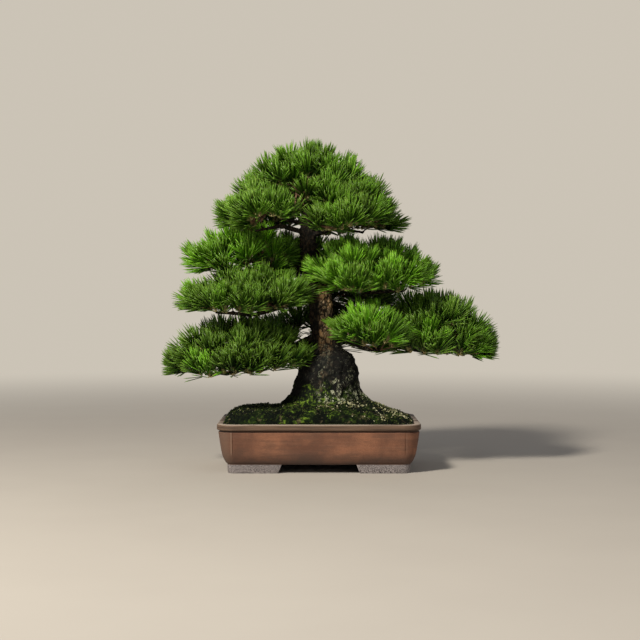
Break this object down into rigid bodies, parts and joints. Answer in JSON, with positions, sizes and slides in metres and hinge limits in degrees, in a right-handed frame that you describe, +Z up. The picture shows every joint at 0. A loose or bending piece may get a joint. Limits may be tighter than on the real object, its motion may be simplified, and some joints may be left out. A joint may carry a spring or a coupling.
{
  "type": "bonsai tree",
  "caption": "Japanese black pine bonsai with layered pads of upright needles, a thick flared trunk and mossy soil in a rectangular unglazed clay pot on feet.",
  "frame": {"origin": "middle of the whole object's footprint, needles included, on the plane that the pot's feet stand on", "axes": "+Z up, the front of the tree and the long side of the pot face -Y, +X to the right seen from the front"},
  "size_m": [0.5958, 0.3298, 0.5795],
  "materials": {
    "clay": "matte",
    "soil": "matte",
    "moss": "matte",
    "net": "matte",
    "bark": "matte",
    "needles": "satin"
  },
  "bodies": {
    "root": {"pot": "clay", "foot_front_left": "clay", "foot_front_right": "clay", "foot_back_left": "clay", "foot_back_right": "clay", "soil": "soil", "moss": "moss", "screen_left": "net", "screen_right": "net", "wood": "bark", "spray_01": "needles", "spray_02": "needles", "spray_03": "needles", "spray_04": "needles", "spray_05": "needles", "spray_06": "needles", "spray_07": "needles", "spray_08": "needles", "spray_09": "needles", "spray_10": "needles", "spray_11": "needles", "spray_12": "needles", "spray_13": "needles", "spray_14": "needles", "spray_15": "needles", "spray_16": "needles", "spray_17": "needles", "spray_18": "needles", "spray_19": "needles", "spray_20": "needles", "spray_21": "needles", "spray_22": "needles", "spray_23": "needles", "spray_24": "needles", "spray_25": "needles", "spray_26": "needles", "spray_27": "needles", "spray_28": "needles", "spray_29": "needles", "spray_30": "needles", "spray_31": "needles", "spray_32": "needles", "spray_33": "needles", "spray_34": "needles", "spray_35": "needles", "spray_36": "needles", "spray_37": "needles", "spray_38": "needles", "spray_39": "needles", "spray_40": "needles", "spray_41": "needles", "spray_42": "needles", "spray_43": "needles"}
  },
  "joints": []
}
